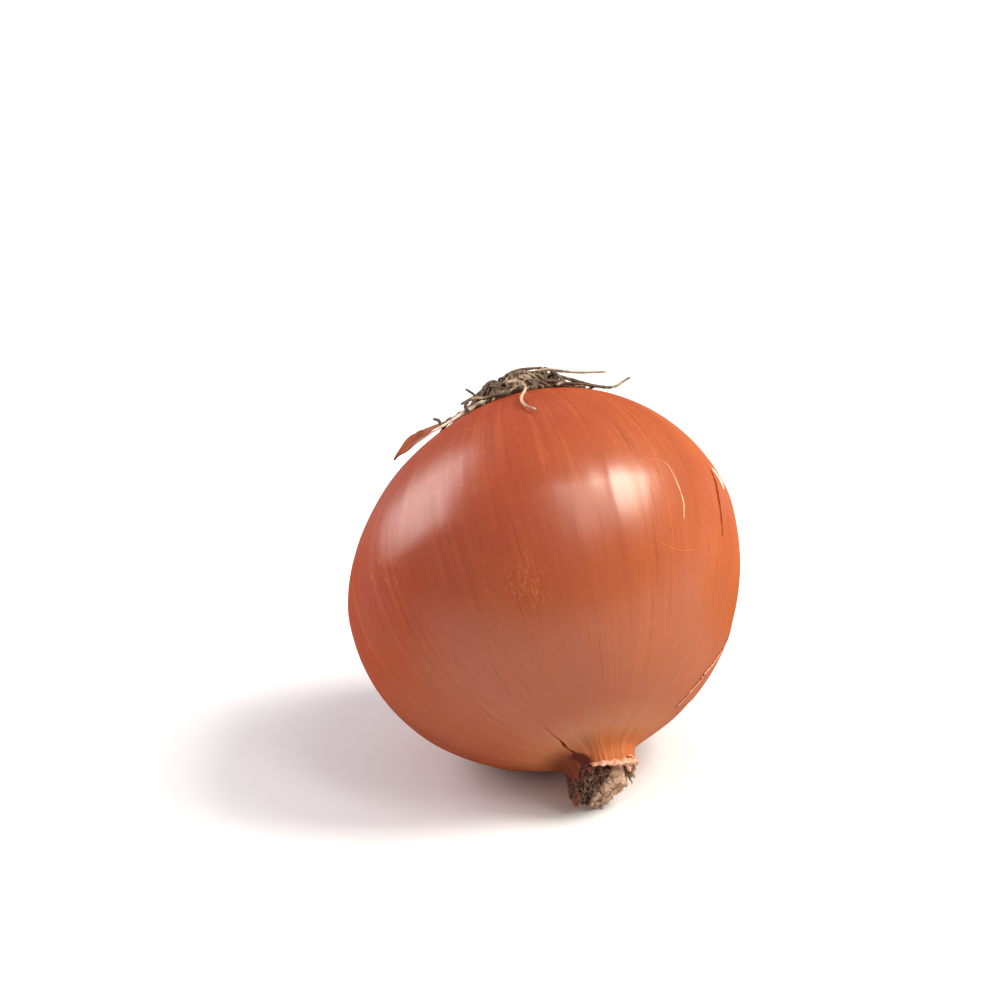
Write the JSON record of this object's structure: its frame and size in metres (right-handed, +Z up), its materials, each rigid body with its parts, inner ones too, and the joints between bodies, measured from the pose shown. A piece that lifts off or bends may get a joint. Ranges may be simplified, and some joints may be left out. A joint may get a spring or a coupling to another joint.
{
  "type": "onion",
  "caption": "Whole yellow onion with tight copper skin, trimmed dry neck, root tuft and a loose skin flake, lying on its side.",
  "frame": {"origin": "middle of the small flat spot on the bulb's belly that it rests on", "axes": "+Z up; the bulb's axis lies in the YZ plane, with the neck pointing along -Y and 47 degrees below level, and the root end up along +Y; +X is the right flank seen from the neck's side"},
  "size_m": [0.0836, 0.0802, 0.0799],
  "materials": {
    "dry_skin": "thin dry outer skin, copper orange to red brown, satin gloss with fine veins from root to neck",
    "collar_skin": "papery orange skin, ribbed lengthwise, torn and paler at the rim, matte",
    "neck_husk": "shrivelled brown leaf bases, dark inside with pale tan flaky patches, matte",
    "dry_root": "dry wiry rootlets, grey brown, matte",
    "flake_skin": "split-off papery skin, red brown with a pale edge, satin"
  },
  "bodies": {
    "root": {"bulb": "dry_skin", "neck_collar": "collar_skin", "neck_core": "neck_husk", "neck_scale_01": "neck_husk", "neck_scale_02": "neck_husk", "neck_scale_03": "neck_husk", "neck_scale_04": "neck_husk", "root_mat": "dry_root", "rootlet_01": "dry_root", "rootlet_02": "dry_root", "rootlet_03": "dry_root", "rootlet_04": "dry_root", "rootlet_05": "dry_root", "rootlet_06": "dry_root", "rootlet_07": "dry_root", "rootlet_08": "dry_root", "rootlet_09": "dry_root", "rootlet_10": "dry_root", "rootlet_11": "dry_root", "rootlet_12": "dry_root", "skin_flake": "flake_skin"}
  },
  "joints": []
}
